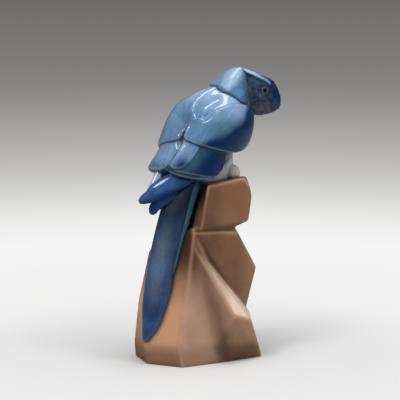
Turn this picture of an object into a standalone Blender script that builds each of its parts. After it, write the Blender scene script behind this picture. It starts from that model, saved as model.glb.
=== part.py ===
"""Porcelain parrot perched on a faceted rock, slip-cast, glazed and fired as one piece.

The figure stands on Z = 0, with the middle of its foot at the origin. X runs to the right of the bird's
back, Y away from it and Z up. Sizes below are in millimetres, and add_mesh turns them into metres.
"""

import math

import bmesh
import bpy
from mathutils import Vector

MM = 0.001

# Rock heights above the foot
BAND_HEIGHT = 23.0
LEDGE_HEIGHT = 54.0
BULGE_HEIGHT = 101.0
SHOULDER_HEIGHT = 119.0
WAIST_HEIGHT = 146.0
PERCH_HEIGHT = 197.0

# Torso: its middle stands over the perch, its axis runs from rump to neck
TORSO_ABOVE_PERCH = 53.0
TORSO_CENTRE = Vector((8.0, 4.0, PERCH_HEIGHT + TORSO_ABOVE_PERCH))
TORSO_AXIS = Vector((0.356, 0.35, 0.867)).normalized()
TORSO_BACK = Vector((-0.317, -0.827, 0.464)).normalized()
TORSO_SIDE = TORSO_AXIS.cross(TORSO_BACK).normalized()

# Head: the middle of its neck end, and the way it looks
HEAD_CENTRE = TORSO_CENTRE + Vector((37.0, 8.0, 40.0))
HEAD_YAW = math.radians(27.0)
EYE_RADIUS = 3.0
EYE_PLACE = (24.2, 10.6, 2.6)

# Tail: how high its tip stays above the foot
TAIL_TIP_HEIGHT = 26.0

# Depth to which wing plates and feathers are rooted in the body
PLATE_ROOT = 5.0

# Below this place on the axis the rump draws in under the coverts, by this much
RUMP_TOP = -54.0
RUMP_SINK = 4.5

# Soft edges of the casting
ROCK_EDGE = 2.4
HEAD_EDGE = 2.2
BROW_EDGE = 1.2
PLATE_EDGE = 3.0

RING_POINTS = 48

CERAMIC = dict(name="glazed_ceramic", color=(0.10, 0.20, 0.42, 1.0), roughness=0.16, metallic=0.0)


def add_mesh(name, points, faces):
    """A mesh object from points in millimetres, with its faces turned outwards."""
    mesh = bpy.data.meshes.new(name)
    mesh.from_pydata([Vector(p) * MM for p in points], [], faces)
    work = bmesh.new()
    work.from_mesh(mesh)
    bmesh.ops.recalc_face_normals(work, faces=work.faces)
    work.to_mesh(mesh)
    work.free()
    obj = bpy.data.objects.new(name, mesh)
    bpy.context.scene.collection.objects.link(obj)
    return obj


def loft(name, rings):
    """A closed solid through rings of equally many points, its two ends closed by fans."""
    count = len(rings[0])
    points = [p for ring in rings for p in ring]
    faces = []
    for r in range(len(rings) - 1):
        for i in range(count):
            j = (i + 1) % count
            faces.append((r * count + i, r * count + j, (r + 1) * count + j, (r + 1) * count + i))
    for start, ring in ((0, rings[0]), ((len(rings) - 1) * count, rings[-1])):
        points.append(sum((Vector(p) for p in ring), Vector((0, 0, 0))) / count)
        tip = len(points) - 1
        faces += [(start + i, start + (i + 1) % count, tip) for i in range(count)]
    return add_mesh(name, points, faces)


def hull(name, corners, edge):
    """A convex chunk through its corner points, with softened edges."""
    obj = add_mesh(name, corners, [])
    work = bmesh.new()
    work.from_mesh(obj.data)
    found = bmesh.ops.convex_hull(work, input=work.verts)
    loose = {item for item in found["geom_interior"] if isinstance(item, bmesh.types.BMVert)}
    bmesh.ops.delete(work, geom=list(loose), context="VERTS")
    bmesh.ops.dissolve_limit(work, angle_limit=math.radians(3), verts=work.verts, edges=work.edges)
    work.to_mesh(obj.data)
    work.free()
    bevel = obj.modifiers.new("soft_edges", "BEVEL")
    bevel.width = edge * MM
    bevel.segments = 2
    bevel.limit_method = "ANGLE"
    bevel.angle_limit = math.radians(12)
    weld = obj.modifiers.new("weld", "WELD")
    weld.merge_threshold = 0.1 * MM
    return obj


def between(rows, place):
    """Values at a place from rows of (place, value, ...), eased through the rows with no overshoot."""
    place = min(max(place, rows[0][0]), rows[-1][0])
    i = 0
    while i < len(rows) - 2 and place > rows[i + 1][0]:
        i += 1
    a, b = rows[i], rows[i + 1]
    before, after = rows[max(i - 1, 0)], rows[min(i + 2, len(rows) - 1)]
    span = b[0] - a[0]
    t = (place - a[0]) / span
    values = []
    for k in range(1, len(a)):
        m0 = (b[k] - before[k]) / (b[0] - before[0]) * span
        m1 = (after[k] - a[k]) / (after[0] - a[0]) * span
        blend = (2 * t**3 - 3 * t**2 + 1) * a[k] + (3 * t**2 - 2 * t**3) * b[k]
        values.append(blend + (t**3 - 2 * t**2 + t) * m0 + (t**3 - t**2) * m1)
    return values


# Rock: overlapping convex chunks


def rock_chunks():
    trunk = [
        (-16.5, -42.3, 0), (-55.6, -25.1, 0), (-70, 11, 0), (-52, 40, 0), (0, 49, 0), (48, 36, 0),
        (50, 0, 0), (25, -20, 0), (-21.8, -41.5, BAND_HEIGHT), (-58.5, -25, BAND_HEIGHT - 1),
        (-71, 10, BAND_HEIGHT - 6), (-66, 6, LEDGE_HEIGHT + 10), (-54, 0, SHOULDER_HEIGHT),
        (-48, -13.5, SHOULDER_HEIGHT), (-45, 24, SHOULDER_HEIGHT - 8), (-4.5, -32.5, WAIST_HEIGHT + 3),
        (-2, -33.5, WAIST_HEIGHT - 18), (-42, -12, WAIST_HEIGHT - 16), (20, 34, SHOULDER_HEIGHT),
        (-28, 28, WAIST_HEIGHT + 3), (2, 44, LEDGE_HEIGHT + 6),
    ]
    outcrop = [
        (-3, -34, WAIST_HEIGHT - 19), (39, -34, LEDGE_HEIGHT), (57, -15, LEDGE_HEIGHT - 8), (70, 10, 0),
        (29, -18, 0), (8, -22, 6), (62, 28, 0), (55, 12, LEDGE_HEIGHT - 2),
        (-3, 12, WAIST_HEIGHT - 19), (0, 30, 0), (0, 34, LEDGE_HEIGHT - 14),
    ]
    bulge = [
        (-3, -33.5, WAIST_HEIGHT - 2), (42, -8.5, WAIST_HEIGHT - 4), (0, -28, WAIST_HEIGHT + 2),
        (38, -3, WAIST_HEIGHT), (63, 2, BULGE_HEIGHT), (52, 3, LEDGE_HEIGHT + 1),
        (58, 20, BULGE_HEIGHT - 5), (48, 22, LEDGE_HEIGHT), (38, 24, WAIST_HEIGHT - 2),
        (6, 38, WAIST_HEIGHT), (10, 42, BULGE_HEIGHT - 11), (-30, 20, SHOULDER_HEIGHT),
        (-34, -6, WAIST_HEIGHT - 18), (8, -9, BULGE_HEIGHT),
    ]
    block = [
        (10, -28, PERCH_HEIGHT - 3), (49, -13, PERCH_HEIGHT + 4), (55, -10, PERCH_HEIGHT - 6),
        (57.5, -8, PERCH_HEIGHT - 17), (54, -10, WAIST_HEIGHT + 8), (2.5, -31, WAIST_HEIGHT + 2),
        (38, -6, WAIST_HEIGHT), (-5, -31, WAIST_HEIGHT - 2), (-4, 6, PERCH_HEIGHT - 5),
        (-10, 0, WAIST_HEIGHT - 9), (16, 38, PERCH_HEIGHT - 1), (14, 36, WAIST_HEIGHT),
        (52, 20, PERCH_HEIGHT + 2), (50, 18, WAIST_HEIGHT + 6), (36, 22, WAIST_HEIGHT - 2),
    ]
    spine = [
        (-4, 2, PERCH_HEIGHT - 6), (-30, -8, PERCH_HEIGHT - 9), (-42, -10, WAIST_HEIGHT - 16),
        (-8, -4, WAIST_HEIGHT - 16), (-30, 26, PERCH_HEIGHT - 9), (-38, 24, WAIST_HEIGHT - 16),
        (16, 38, PERCH_HEIGHT - 2), (14, 36, WAIST_HEIGHT),
    ]
    chunks = dict(trunk=trunk, outcrop=outcrop, bulge=bulge, block=block, spine=spine)
    return [hull(name, corners, ROCK_EDGE) for name, corners in chunks.items()]


# Torso, from rump to neck: place on the axis, offsets to the side and the back, half width and half depth
TORSO_ROWS = [
    (-76, -19, 9, 13, 12),
    (-66, -16.5, 8, 20, 18),
    (-56, -10.8, 6, 27.7, 23),
    (-44, -6.2, 4, 31.3, 28.5),
    (-30, -4, 2.3, 34.5, 33.5),
    (-14, -2.5, 1.2, 38.5, 38),
    (2, 0, 0, 42.5, 42),
    (16, 1.8, -0.8, 41.5, 40),
    (30, 5.5, -2.5, 35, 35),
    (42, 8.5, -3.5, 27.5, 28),
    (52, 9, -3, 19, 19),
]


# Modelling of the back: height above the plain torso, reach, then places along the axis and around it
BACK_RELIEF = [
    (3.2, 4.2, [(40, -8), (27, -10), (18, -7.5), (8, -6), (3, -1), (-4, 6)]),
    (2.0, 4.2, [(-4, 6), (-14, 3), (-24, 2)]),
    (-4.2, 7.0, [(25, 16), (13, 9), (3, 13)]),
    (-3.2, 7.0, [(7, -32), (-3, -24), (-8, -12)]),
    (2.4, 5.5, [(32, -24), (18, -25), (9, -40)]),
    (-2.6, 2.6, [(-24, -1), (-33, -1)]),
    (-4.5, 6.0, [(-67, -38), (-69, -20), (-68, 0), (-66, 14)]),
]


def back_relief(u, angle):
    """Height of the ridges of the back above the plain torso, or depth of its hollows below it."""
    if abs(angle) > 75:
        return 0.0
    total = 0.0
    scale = math.radians(1) * 38
    for height, reach, line in BACK_RELIEF:
        nearest = 1e9
        for (u0, a0), (u1, a1) in zip(line, line[1:]):
            du, da = u1 - u0, (a1 - a0) * scale
            along = ((u - u0) * du + (angle - a0) * scale * da) / (du * du + da * da)
            along = min(max(along, 0.0), 1.0)
            nearest = min(nearest, math.hypot(u - u0 - du * along, (angle - a0) * scale - da * along))
        total += height * math.exp(-((nearest / reach) ** 2))
    return total


def torso_point(u, angle, lift=0.0):
    """A point on the torso's surface, raised by lift. Angle 0 is the spine and 90 the bird's right side."""
    side, back, half_side, half_back = between(TORSO_ROWS, u)
    turn = math.radians(angle)
    lift += back_relief(u, angle)
    p = side + (half_side + lift) * math.sin(turn)
    q = back + (half_back + lift) * math.cos(turn)
    return TORSO_CENTRE + TORSO_AXIS * u + TORSO_SIDE * p + TORSO_BACK * q


def torso():
    low, high, steps = TORSO_ROWS[0][0], TORSO_ROWS[-1][0], 28
    angles = [-180 + 360 * i / RING_POINTS for i in range(RING_POINTS)]
    rings = []
    for k in range(steps + 1):
        u = low + (high - low) * k / steps
        sink = RUMP_SINK * min(max((RUMP_TOP - u) / 8, 0.0), 1.0)
        rings.append([torso_point(u, angle, -sink) for angle in angles])
    return loft("torso", rings)


# Wing plates: rows of angle around the torso, then top, bottom, and height proud of it at each
PLATES = {
    "right_wing": [
        (1, -9, -26, 2, 4.8), (7, -4, -28.5, 2.2, 4.8), (16, 3, -28.6, 2.8, 5),
        (26, 13, -29.2, 3.8, 5.2), (36, 24, -28.9, 4.6, 5.6), (51, 31, -27.6, 4.6, 6),
        (70, 36, -24, 4.2, 6.6), (90, 38, -18.5, 3.6, 7.2), (102, 38, -13, 2.8, 7.4),
        (112, 35, -6, 2, 6.4), (119, 30, 1, 1.4, 4.6),
    ],
    "left_wing": [
        (-110, 20, -36, 0, 4), (-90, 14, -36, 0, 4.6), (-65, 8, -34.8, 0, 4.8),
        (-50, 6, -34.6, -0.4, 5), (-36, 2, -34.6, -0.6, 5), (-21, -2, -33.3, -0.6, 5),
        (-10, -6, -31, -0.4, 4.8), (-4, -8, -28.8, -0.4, 4.8), (-1, -9, -26, -0.4, 4.6),
    ],
    "right_covert": [
        (1, -26, -54, 0.8, 3.6), (4, -24, -57, 0.8, 4.2), (9, -22, -58.8, 0.5, 4.5),
        (20, -20, -59.8, 0.5, 4.6), (29, -20, -58.6, 0.5, 4.4), (35.5, -20, -55.3, 0.5, 4.2),
    ],
    "right_flight": [
        (4, -40, -60.4, 0.5, 2.2), (14, -24, -60.9, 0.5, 2.6), (30, -20, -61.4, 0.5, 3.2),
        (50, -18, -60, 0.6, 4.6), (66, -16, -57.8, 0.8, 6.4), (80, -14, -54.8, 1, 8),
        (87, -22, -52.4, 3, 8.8), (92, -30, -50.2, 6, 9), (97, -35.5, -48, 7, 9),
        (100.5, -40, -46, 8, 9),
    ],
    "under_covert": [
        (0, -44, -62.4, 0, 1), (14, -30, -63, 0, 1.4), (30, -26, -64.2, 0, 1.8), (50, -24, -64, 0, 3),
        (71, -22, -61.8, 0, 5.4), (86, -24, -57.4, 1, 8), (94, -32, -53.6, 4, 9),
        (100, -41, -49.5, 7, 9.6),
    ],
    "left_covert": [
        (-112, -24, -60, 0, 3), (-92, -26, -63, 0, 3.6), (-72, -26, -64.2, 0, 4.2),
        (-54, -26, -64.6, 0, 4.6), (-38, -24, -64.3, 0, 4.8), (-25, -22, -64.3, 0.5, 4.8),
        (-16, -22, -64, 0.5, 4.6), (-10, -28, -63.2, 1, 4.6), (-6, -42, -62.4, 2, 4.6),
        (-1, -54, -61, 3.2, 4.4),
    ],
    "spine_covert": [
        (-13, -30, -58, 0.6, 2.6), (-8, -24, -59, 1, 3), (-2, -22, -59, 1, 3.2),
        (3, -22, -56, 0.6, 2.8),
    ],
}


def eased(count):
    """Places from 0 to 1 that crowd towards both ends."""
    return [0.5 - 0.5 * math.cos(math.pi * i / (count - 1)) for i in range(count)]


def plate(name, rows):
    """A wing plate laid over the torso, thicker towards its lower edge, with rounded borders."""
    low, high = rows[0][0], rows[-1][0]
    columns = max(8, round((high - low) / 7) + 3)
    steps = 11
    outer, inner = [], []
    for s in eased(columns):
        angle = low + (high - low) * s
        u_top, u_bottom, lift_top, lift_bottom = between(rows, angle)
        for t in eased(steps):
            u = u_top + (u_bottom - u_top) * t
            radius = between(TORSO_ROWS, u)[2]
            side_gap = math.radians(min(angle - low, high - angle)) * radius
            gap = min(side_gap, u_top - u, u - u_bottom) / PLATE_EDGE
            round_off = math.sqrt(max(0.0, 1 - (1 - min(max(gap, 0.0), 1.0)) ** 2))
            lift = lift_top + (lift_bottom - lift_top) * t
            outer.append(torso_point(u, angle, -0.8 + (lift + 0.8) * round_off))
            inner.append(torso_point(u, angle, -PLATE_ROOT))
    faces = []
    total = columns * steps
    for s in range(columns - 1):
        for t in range(steps - 1):
            a = s * steps + t
            faces.append((a, a + 1, a + steps + 1, a + steps))
            faces.append((total + a, total + a + steps, total + a + steps + 1, total + a + 1))
    border = [s * steps for s in range(columns)]
    border += [(columns - 1) * steps + t for t in range(1, steps)]
    border += [s * steps + steps - 1 for s in range(columns - 2, -1, -1)]
    border += [t for t in range(steps - 2, 0, -1)]
    for i, a in enumerate(border):
        b = border[(i + 1) % len(border)]
        faces.append((a, b, total + b, total + a))
    return add_mesh(name, outer + inner, faces)


def blade(name, stations, face, power=2.6, count=16):
    """A feather through stations of (x, y, z, half width, half thickness), its flat side towards face."""
    centres = [TORSO_CENTRE + Vector(row[:3]) for row in stations]
    rings = []
    for i, row in enumerate(stations):
        ahead = (centres[min(i + 1, len(centres) - 1)] - centres[max(i - 1, 0)]).normalized()
        across = ahead.cross(face).normalized()
        out = across.cross(ahead).normalized()
        ring = []
        for k in range(count):
            turn = 2 * math.pi * k / count
            c, s = math.cos(turn), math.sin(turn)
            x = math.copysign(abs(c) ** (2 / power), c) * row[3]
            y = math.copysign(abs(s) ** (2 / power), s) * row[4]
            ring.append(centres[i] + across * x + out * y)
        rings.append(ring)
    return loft(name, rings)


def feathers():
    """The folded wing tips, each from its root under the plates to its point."""
    face = Vector((-0.15, -1.0, 0.25)).normalized()
    right_tip = [
        (-13, -22, -43, 9, 4.5), (-30, -33, -50, 10.6, 5.8), (-49.5, -35, -60, 9.2, 6),
        (-58, -35, -66.2, 7.4, 5), (-66.8, -35, -71, 4.8, 3.6), (-71, -35, -73.2, 2, 1.8),
    ]
    right_second = [
        (-22, -23, -50, 8, 4.5), (-40, -32, -66, 8, 5), (-53, -32, -77, 6, 4.5),
        (-56.5, -31, -83.5, 4.6, 3.5), (-57.8, -31, -87, 2, 2),
    ]
    left_tip = [
        (-38, -20, -26, 4, 4), (-46.5, -23, -38, 4.5, 4.5), (-52.5, -28, -50, 4.6, 4.5),
        (-57.5, -32, -59, 4, 4), (-63, -34, -66, 2, 2),
    ]
    rows = dict(right_tip=right_tip, right_second=right_second, left_tip=left_tip)
    return [blade(name, row, face) for name, row in rows.items()]


# Tail feathers: share of the way up from the tip, left edge, right edge, front face, half thickness
TAIL_ROWS = {
    "tail": [
        (0.0, -60.5, -55.5, -28, 4), (0.025, -62.2, -52, -29.5, 7), (0.10, -63, -43.8, -31, 9),
        (0.215, -63.4, -37, -32, 10), (0.36, -60.6, -31.5, -33, 10), (0.47, -57.8, -30, -33.5, 10),
        (0.61, -53, -25, -33.5, 10), (0.74, -48, -19.7, -33.5, 10), (0.89, -41.5, -13.5, -33, 10),
        (0.97, -38.5, -10, -30, 10), (1.08, -32, -5, -20, 8),
    ],
    "tail_second": [
        (0.30, -46, -36, -25, 6), (0.36, -44, -30.5, -27.5, 8), (0.47, -42, -25.6, -29.5, 9),
        (0.61, -38, -20.5, -30, 9), (0.74, -32, -15, -30, 9), (0.89, -26, -8.5, -29.5, 9),
        (0.97, -22, -4, -26.5, 9), (1.05, -17, -1, -19, 8),
    ],
}


def tail_feathers():
    """The long tail feathers that lie down the rock."""
    root = TORSO_CENTRE.z - 58.0
    across = Vector((0.93, -0.36, 0)).normalized()
    out = Vector((across.y, -across.x, 0))
    made = []
    for name, rows in TAIL_ROWS.items():
        rings = []
        for share, left, right, front, half_thick in rows:
            centre = Vector(((left + right) / 2, front, TAIL_TIP_HEIGHT + (root - TAIL_TIP_HEIGHT) * share))
            centre -= out * half_thick
            half_width = (right - left) / 2 / across.x
            ring = []
            for k in range(20):
                turn = 2 * math.pi * k / 20
                c, s = math.cos(turn), math.sin(turn)
                x = math.copysign(abs(c) ** 0.62, c) * half_width
                y = math.copysign(abs(s) ** 0.8, s) * half_thick
                ring.append(centre + across * x + out * y)
            rings.append(ring)
        made.append(loft(name, rings))
    return made


def head_point(forward, near, up):
    """A point of the head: forward along its looks, near towards the viewer's side, and up."""
    ahead = Vector((math.cos(HEAD_YAW), math.sin(HEAD_YAW), 0))
    side = Vector((math.sin(HEAD_YAW), -math.cos(HEAD_YAW), 0))
    return HEAD_CENTRE + ahead * forward + side * near + Vector((0, 0, up))


# Head chunks, each mirrored through the middle of the head: forward, half width there, up
HEAD_CHUNKS = {
    "hood": [
        (-32, 13, 9.5), (-18.5, 15.5, 17.5), (-20, 3, 22.5), (-10, 3, 27.3), (-5, 7, 27.5), (3, 9, 24),
        (-1, 17, 5), (-24.5, 17.5, 3.5), (-12.5, 23, -4.5), (0, 19, -9.5), (4, 15, -14), (-26, 4, -4),
        (-18, 9, -14), (-6, 14, -24), (2, 10, -25),
    ],
    "face": [
        (-0.5, 7, 24.5), (22, 8, 17.5), (31, 8, 11), (35, 10, 2), (34, 10, -8), (31, 8, -20),
        (12.5, 9, -23.5), (3, 12, -19), (0, 14.5, -7), (-2, 13.5, 9),
    ],
    "brow": [
        (-5, 8, 28), (7, 7, 25), (22, 7, 20), (33, 6, 15.5), (32.5, 9.5, 11), (21, 10.4, 15.5),
        (6.5, 10.8, 20.5), (-2, 10.2, 23.5),
    ],
    "beak": [
        (31, 6, 16.5), (38, 6, 12.5), (43.5, 6, 4.5), (48, 5, -5.5), (48.5, 4, -14), (46.5, 3, -19),
        (39, 6, -18), (33, 9.5, -14), (35.5, 11, -6), (34.5, 11, 3), (32, 9.8, 10.5),
    ],
    "jaw": [
        (5, 13, -12), (8, 11.5, -20), (14, 8.5, -24), (22, 7.5, -25), (31, 6, -23.7), (40, 4.5, -21.7),
        (46, 3, -18.5), (44, 6, -12), (35, 10, -10), (20, 12, -10), (8, 13.5, -8),
    ],
}


def head():
    made = []
    for name, rows in HEAD_CHUNKS.items():
        corners = [head_point(f, w * sign, z) for f, w, z in rows for sign in (1, -1)]
        made.append(hull(name, corners, BROW_EDGE if name == "brow" else HEAD_EDGE))
    for sign in (1, -1):
        centre = head_point(EYE_PLACE[0], sign * (EYE_PLACE[1] - EYE_RADIUS * 0.55), EYE_PLACE[2])
        made.append(ball(f"eye_{sign}", centre, (EYE_RADIUS,) * 3, 8))
    return made


def ball(name, centre, radii, rings=9, count=14):
    """An ellipsoid with its poles up and down."""
    points = []
    for r in range(rings):
        turn = math.pi * (r + 0.5) / rings
        ring = []
        for k in range(count):
            around = 2 * math.pi * k / count
            ring.append(centre + Vector((
                radii[0] * math.sin(turn) * math.cos(around),
                radii[1] * math.sin(turn) * math.sin(around),
                -radii[2] * math.cos(turn),
            )))
        points.append(ring)
    return loft(name, points)


def legs():
    """The belly down to the perch, and the toes that grip it."""
    perch = Vector((TORSO_CENTRE.x, TORSO_CENTRE.y, PERCH_HEIGHT))
    belly = [
        (-12, 5, 16, 14), (0, 6.5, 19, 16), (8, 6.5, 21, 18), (16, 6, 23, 20), (26, 4, 25, 24),
        (38, 0, 28, 26),
    ]
    rings = []
    for z, shift, half_x, half_y in belly:
        centre = perch + Vector((shift, 5, z))
        turns = [2 * math.pi * k / 24 for k in range(24)]
        rings.append([centre + Vector((half_x * math.cos(t), half_y * math.sin(t), 0)) for t in turns])
    made = [loft("belly", rings)]
    for k, (x, y) in enumerate(((30, -2), (28, 7), (-7, 24), (1, 27))):
        made.append(ball(f"toe_{k}", perch + Vector((x, y, 7.5)), (7, 6, 8.6)))
    return made


def join(parts, name):
    """One solid from overlapping parts."""
    body = parts[0]
    body.name = name
    for part in parts[1:]:
        cut = body.modifiers.new(f"join_{part.name}", "BOOLEAN")
        cut.operation = "UNION"
        cut.solver = "EXACT"
        cut.object = part
        part.hide_render = True
        part.display_type = "WIRE"
    return body


def glaze():
    mat = bpy.data.materials.new(CERAMIC["name"])
    mat.use_nodes = True
    shader = mat.node_tree.nodes["Principled BSDF"]
    shader.inputs["Base Color"].default_value = CERAMIC["color"]
    shader.inputs["Roughness"].default_value = CERAMIC["roughness"]
    shader.inputs["Metallic"].default_value = CERAMIC["metallic"]
    return mat


def main():
    for old in list(bpy.data.objects):
        bpy.data.objects.remove(old)
    parts = rock_chunks()
    parts.append(torso())
    parts += [plate(name, rows) for name, rows in PLATES.items()]
    parts += feathers()
    parts += tail_feathers()
    parts += head()
    parts += legs()
    figurine = join(parts, "parrot_figurine")
    figurine.data.materials.append(glaze())


main()
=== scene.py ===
"""Glazed porcelain parrot on its rock: fine surface, glazes with painted light and shade, studio light
and floor.

Shapes are built in millimetres and turned into metres when they become meshes.
"""

import math

import bmesh
import bpy
import numpy as np
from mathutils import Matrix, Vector
from mathutils.bvhtree import BVHTree


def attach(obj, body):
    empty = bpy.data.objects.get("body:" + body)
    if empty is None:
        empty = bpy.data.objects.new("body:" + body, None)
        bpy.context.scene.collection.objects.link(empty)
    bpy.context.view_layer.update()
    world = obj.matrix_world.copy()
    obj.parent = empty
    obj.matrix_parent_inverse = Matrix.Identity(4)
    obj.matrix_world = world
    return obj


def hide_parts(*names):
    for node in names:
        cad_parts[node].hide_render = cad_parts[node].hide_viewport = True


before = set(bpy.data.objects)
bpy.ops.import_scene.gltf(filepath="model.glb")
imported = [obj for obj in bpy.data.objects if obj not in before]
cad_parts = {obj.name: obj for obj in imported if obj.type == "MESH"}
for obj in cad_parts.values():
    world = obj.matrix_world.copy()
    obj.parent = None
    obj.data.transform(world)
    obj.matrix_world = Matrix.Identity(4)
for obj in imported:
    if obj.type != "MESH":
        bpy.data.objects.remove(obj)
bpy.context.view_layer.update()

MM = 0.001
X_AXIS = Vector((1, 0, 0))
Y_AXIS = Vector((0, 1, 0))

# Rock heights above the foot
BAND = 23.0
LEDGE = 54.0
BULGE = 101.0
SHOULDER = 119.0
WAIST = 146.0
PERCH = 197.0

# Torso, head and tail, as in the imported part
TORSO_ABOVE_PERCH = 53.0
TORSO_CENTRE = Vector((8.0, 4.0, PERCH + TORSO_ABOVE_PERCH))
TORSO_AXIS = Vector((0.356, 0.35, 0.867)).normalized()
TORSO_BACK = Vector((-0.317, -0.827, 0.464)).normalized()
TORSO_SIDE = TORSO_AXIS.cross(TORSO_BACK).normalized()
HEAD_CENTRE = TORSO_CENTRE + Vector((37.0, 8.0, 40.0))
HEAD_YAW = math.radians(27.0)
EYE_RADIUS = 3.0
EYE_PLACE = (24.2, 10.6, 2.6)
TAIL_TIP = 26.0
TAIL_ROOT = TORSO_CENTRE.z - 58.0

# Wing plates: how deep they reach into the torso, and the width of their rounded borders
PLATE_ROOT = 5.0
PLATE_EDGE = 3.0

# Radii that turn degrees around the torso into millimetres, for the ridges and for the plates
BACK_RADIUS = 38.0
TORSO_RADIUS = 34.0

# How full the cross sections of the wing tips and of the tail feathers are, across and through
TIP_POWERS = (2 / 2.6, 2 / 2.6)
TAIL_POWERS = (0.62, 0.8)

# How far the rump draws in under the coverts, and from where on the axis
RUMP_TOP = -54.0
RUMP_SINK = 4.5

# Size of the fine meshes' cells, and how many rounds of smoothing soften their edges
BODY_CELL = 0.85
BODY_SMOOTH = 5
HEAD_CELL = 0.55
HEAD_SMOOTH = 22
TIP_CELL = 0.5
TAIL_CELL = 0.65
FEATHER_SMOOTH = 5
ROCK_CELL = 1.1
ROCK_SMOOTH = 24


def add_object(name, data):
    obj = bpy.data.objects.new(name, data)
    bpy.context.scene.collection.objects.link(obj)
    return obj


def shaped(name, build):
    """A mesh object, its mesh filled by a function that is given it empty."""
    mesh = bpy.data.meshes.new(name)
    work = bmesh.new()
    build(work)
    work.to_mesh(mesh)
    work.free()
    return add_object(name, mesh)


def add_mesh(name, points, faces):
    """A mesh object from points in millimetres, with its faces turned outwards."""
    def build(work):
        verts = [work.verts.new(Vector(p) * MM) for p in points]
        for face in faces:
            work.faces.new([verts[i] for i in face])
        bmesh.ops.recalc_face_normals(work, faces=work.faces)

    return shaped(name, build)


def loft(name, rings):
    """A closed solid through rings of equally many points, its two ends closed by fans."""
    count = len(rings[0])
    points = [p for ring in rings for p in ring]
    faces = []
    for r in range(len(rings) - 1):
        for i in range(count):
            j = (i + 1) % count
            faces.append((r * count + i, r * count + j, (r + 1) * count + j, (r + 1) * count + i))
    for start, ring in ((0, rings[0]), ((len(rings) - 1) * count, rings[-1])):
        points.append(sum((Vector(p) for p in ring), Vector((0, 0, 0))) / count)
        tip = len(points) - 1
        faces += [(start + i, start + (i + 1) % count, tip) for i in range(count)]
    return add_mesh(name, points, faces)


def hull(name, corners):
    """A convex chunk through its corner points."""
    def build(work):
        for p in corners:
            work.verts.new(Vector(p) * MM)
        found = bmesh.ops.convex_hull(work, input=work.verts)
        loose = {item for item in found["geom_interior"] if isinstance(item, bmesh.types.BMVert)}
        bmesh.ops.delete(work, geom=list(loose), context="VERTS")

    return shaped(name, build)


def oval(centre, across, out, half_width, half_thick, powers, count):
    """A ring of points around a centre, fuller than an ellipse where the powers are below 1."""
    ring = []
    for k in range(count):
        turn = 2 * math.pi * k / count
        c, s = math.cos(turn), math.sin(turn)
        x = math.copysign(abs(c) ** powers[0], c) * half_width
        y = math.copysign(abs(s) ** powers[1], s) * half_thick
        ring.append(centre + across * x + out * y)
    return ring


def ball(name, centre, radii, rings=21):
    """An ellipsoid with its poles up and down."""
    made = []
    for r in range(rings):
        turn = math.pi * (r + 0.5) / rings
        middle = centre + Vector((0, 0, -radii[2] * math.cos(turn)))
        wide, deep = radii[0] * math.sin(turn), radii[1] * math.sin(turn)
        made.append(oval(middle, X_AXIS, Y_AXIS, wide, deep, (1, 1), 32))
    return loft(name, made)


def between(rows, place):
    """Values at a place from rows of (place, value, ...), eased through the rows."""
    place = min(max(place, rows[0][0]), rows[-1][0])
    i = 0
    while i < len(rows) - 2 and place > rows[i + 1][0]:
        i += 1
    a, b = rows[i], rows[i + 1]
    before, after = rows[max(i - 1, 0)], rows[min(i + 2, len(rows) - 1)]
    span = b[0] - a[0]
    t = (place - a[0]) / span
    values = []
    for k in range(1, len(a)):
        m0 = (b[k] - before[k]) / (b[0] - before[0]) * span
        m1 = (after[k] - a[k]) / (after[0] - a[0]) * span
        blend = (2 * t**3 - 3 * t**2 + 1) * a[k] + (3 * t**2 - 2 * t**3) * b[k]
        values.append(blend + (t**3 - 2 * t**2 + t) * m0 + (t**3 - t**2) * m1)
    return values


# Rock chunks by their corners
ROCK_CHUNKS = {
    "trunk": [
        (-16.5, -42.3, 0), (-55.6, -25.1, 0), (-70, 11, 0), (-52, 40, 0), (0, 49, 0), (48, 36, 0),
        (50, 0, 0), (25, -20, 0), (-21.8, -41.5, BAND), (-58.5, -25, BAND - 1),
        (-71, 10, BAND - 6), (-66, 6, LEDGE + 10), (-54, 0, SHOULDER),
        (-48, -13.5, SHOULDER), (-45, 24, SHOULDER - 8), (-4.5, -32.5, WAIST + 3),
        (-2, -33.5, WAIST - 18), (-42, -12, WAIST - 16), (20, 34, SHOULDER),
        (-28, 28, WAIST + 3), (2, 44, LEDGE + 6),
    ],
    "outcrop": [
        (-3, -34, WAIST - 19), (39, -34, LEDGE), (57, -15, LEDGE - 8), (70, 10, 0),
        (29, -18, 0), (8, -22, 6), (62, 28, 0), (55, 12, LEDGE - 2),
        (-3, 12, WAIST - 19), (0, 30, 0), (0, 34, LEDGE - 14),
    ],
    "bulge": [
        (-3, -33.5, WAIST - 2), (42, -8.5, WAIST - 4), (0, -28, WAIST + 2),
        (38, -3, WAIST), (63, 2, BULGE), (52, 3, LEDGE + 1),
        (58, 20, BULGE - 5), (48, 22, LEDGE), (38, 24, WAIST - 2),
        (6, 38, WAIST), (10, 42, BULGE - 11), (-30, 20, SHOULDER),
        (-34, -6, WAIST - 18), (8, -9, BULGE),
    ],
    "block": [
        (10, -28, PERCH - 3), (49, -13, PERCH + 4), (55, -10, PERCH - 6),
        (57.5, -8, PERCH - 17), (54, -10, WAIST + 8), (2.5, -31, WAIST + 2),
        (38, -6, WAIST), (-5, -31, WAIST - 2), (-4, 6, PERCH - 5),
        (-10, 0, WAIST - 9), (16, 38, PERCH - 1), (14, 36, WAIST),
        (52, 20, PERCH + 2), (50, 18, WAIST + 6), (36, 22, WAIST - 2),
    ],
    "spine": [
        (-4, 2, PERCH - 6), (-30, -8, PERCH - 9), (-42, -10, WAIST - 16),
        (-8, -4, WAIST - 16), (-30, 26, PERCH - 9), (-38, 24, WAIST - 16),
        (16, 38, PERCH - 2), (14, 36, WAIST),
    ],
}


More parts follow.
